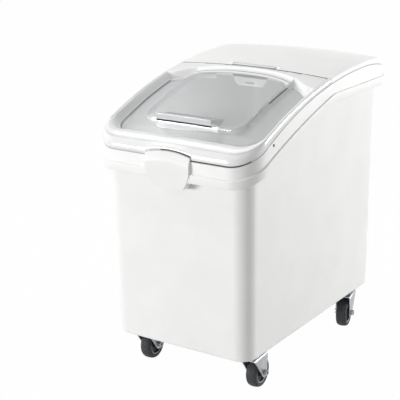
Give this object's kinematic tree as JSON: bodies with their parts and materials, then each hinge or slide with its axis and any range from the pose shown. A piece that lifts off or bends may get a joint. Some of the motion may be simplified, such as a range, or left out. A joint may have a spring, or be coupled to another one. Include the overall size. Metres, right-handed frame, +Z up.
{
  "type": "rice bin with flip lid",
  "caption": "Tall white storage bin on swivel casters with a slanted clear flip lid, a fixed rear cover, a front pull grip and a clear scoop inside.",
  "frame": {"origin": "on the floor, under the middle of the bin's bounding box", "axes": "+Z up, -Y towards the front with the lid's pull and the grip, +X to the viewer's right from the front"},
  "size_m": [0.431, 0.6866, 0.7209],
  "materials": {
    "white_plastic": "satin moulded white polyethylene",
    "clear_plastic": "clear moulded polycarbonate",
    "zinc_steel": "bright zinc plate",
    "hub_plastic": "moulded dark nylon",
    "tyre": "moulded dark grey rubber"
  },
  "bodies": {
    "bin": {"bin_body": "white_plastic", "rear_cover": "white_plastic", "hinge_pin": "zinc_steel", "front_left_mount_plate": "zinc_steel", "front_left_ball_race": "zinc_steel", "front_left_kingpin": "zinc_steel", "front_left_screw_1": "zinc_steel", "front_left_screw_2": "zinc_steel", "front_left_screw_3": "zinc_steel", "front_left_screw_4": "zinc_steel", "front_right_mount_plate": "zinc_steel", "front_right_ball_race": "zinc_steel", "front_right_kingpin": "zinc_steel", "front_right_screw_1": "zinc_steel", "front_right_screw_2": "zinc_steel", "front_right_screw_3": "zinc_steel", "front_right_screw_4": "zinc_steel", "rear_left_mount_plate": "zinc_steel", "rear_left_ball_race": "zinc_steel", "rear_left_kingpin": "zinc_steel", "rear_left_screw_1": "zinc_steel", "rear_left_screw_2": "zinc_steel", "rear_left_screw_3": "zinc_steel", "rear_left_screw_4": "zinc_steel", "rear_right_mount_plate": "zinc_steel", "rear_right_ball_race": "zinc_steel", "rear_right_kingpin": "zinc_steel", "rear_right_screw_1": "zinc_steel", "rear_right_screw_2": "zinc_steel", "rear_right_screw_3": "zinc_steel", "rear_right_screw_4": "zinc_steel"},
    "lid": {"front_lid": "clear_plastic"},
    "scoop": {"scoop": "clear_plastic"},
    "front_left_fork": {"front_left_fork": "zinc_steel", "front_left_axle": "zinc_steel", "front_left_axle_nut": "zinc_steel", "front_left_axle_sleeve": "zinc_steel"},
    "front_left_wheel": {"front_left_hub": "hub_plastic", "front_left_tyre": "tyre"},
    "front_right_fork": {"front_right_fork": "zinc_steel", "front_right_axle": "zinc_steel", "front_right_axle_nut": "zinc_steel", "front_right_axle_sleeve": "zinc_steel"},
    "front_right_wheel": {"front_right_hub": "hub_plastic", "front_right_tyre": "tyre"},
    "rear_left_fork": {"rear_left_fork": "zinc_steel", "rear_left_axle": "zinc_steel", "rear_left_axle_nut": "zinc_steel", "rear_left_axle_sleeve": "zinc_steel"},
    "rear_left_wheel": {"rear_left_hub": "hub_plastic", "rear_left_tyre": "tyre"},
    "rear_right_fork": {"rear_right_fork": "zinc_steel", "rear_right_axle": "zinc_steel", "rear_right_axle_nut": "zinc_steel", "rear_right_axle_sleeve": "zinc_steel"},
    "rear_right_wheel": {"rear_right_hub": "hub_plastic", "rear_right_tyre": "tyre"}
  },
  "joints": [
    {"name": "lid_hinge", "type": "hinge", "parent": "bin", "child": "lid", "pos_m": [0, 0.02831, 0.70508], "axis": [-1, 0, 0], "range_deg": [0, 125]},
    {"name": "scoop_lift", "type": "slide", "parent": "bin", "child": "scoop", "axis": [0, 0, 1], "range_m": [0, 0.3]},
    {"name": "front_left_swivel", "type": "hinge", "parent": "bin", "child": "front_left_fork", "pos_m": [-0.152, -0.23469, 0.092], "axis": [0, 0, 1], "continuous": true},
    {"name": "front_left_spin", "type": "hinge", "parent": "front_left_fork", "child": "front_left_wheel", "pos_m": [-0.15462, -0.2048, 0.038], "axis": [0.9962, 0.0872, 0], "continuous": true},
    {"name": "front_right_swivel", "type": "hinge", "parent": "bin", "child": "front_right_fork", "pos_m": [0.152, -0.23469, 0.092], "axis": [0, 0, 1], "continuous": true},
    {"name": "front_right_spin", "type": "hinge", "parent": "front_right_fork", "child": "front_right_wheel", "pos_m": [0.1497, -0.20478, 0.038], "axis": [0.9971, 0.0767, 0], "continuous": true},
    {"name": "rear_left_swivel", "type": "hinge", "parent": "bin", "child": "rear_left_fork", "pos_m": [-0.152, 0.24931, 0.092], "axis": [0, 0, 1], "continuous": true},
    {"name": "rear_left_spin", "type": "hinge", "parent": "rear_left_fork", "child": "rear_left_wheel", "pos_m": [-0.14783, 0.2196, 0.038], "axis": [-0.9903, -0.1392, 0], "continuous": true},
    {"name": "rear_right_swivel", "type": "hinge", "parent": "bin", "child": "rear_right_fork", "pos_m": [0.152, 0.24931, 0.092], "axis": [0, 0, 1], "continuous": true},
    {"name": "rear_right_spin", "type": "hinge", "parent": "rear_right_fork", "child": "rear_right_wheel", "pos_m": [0.15875, 0.22008, 0.038], "axis": [-0.9744, -0.225, 0], "continuous": true}
  ]
}
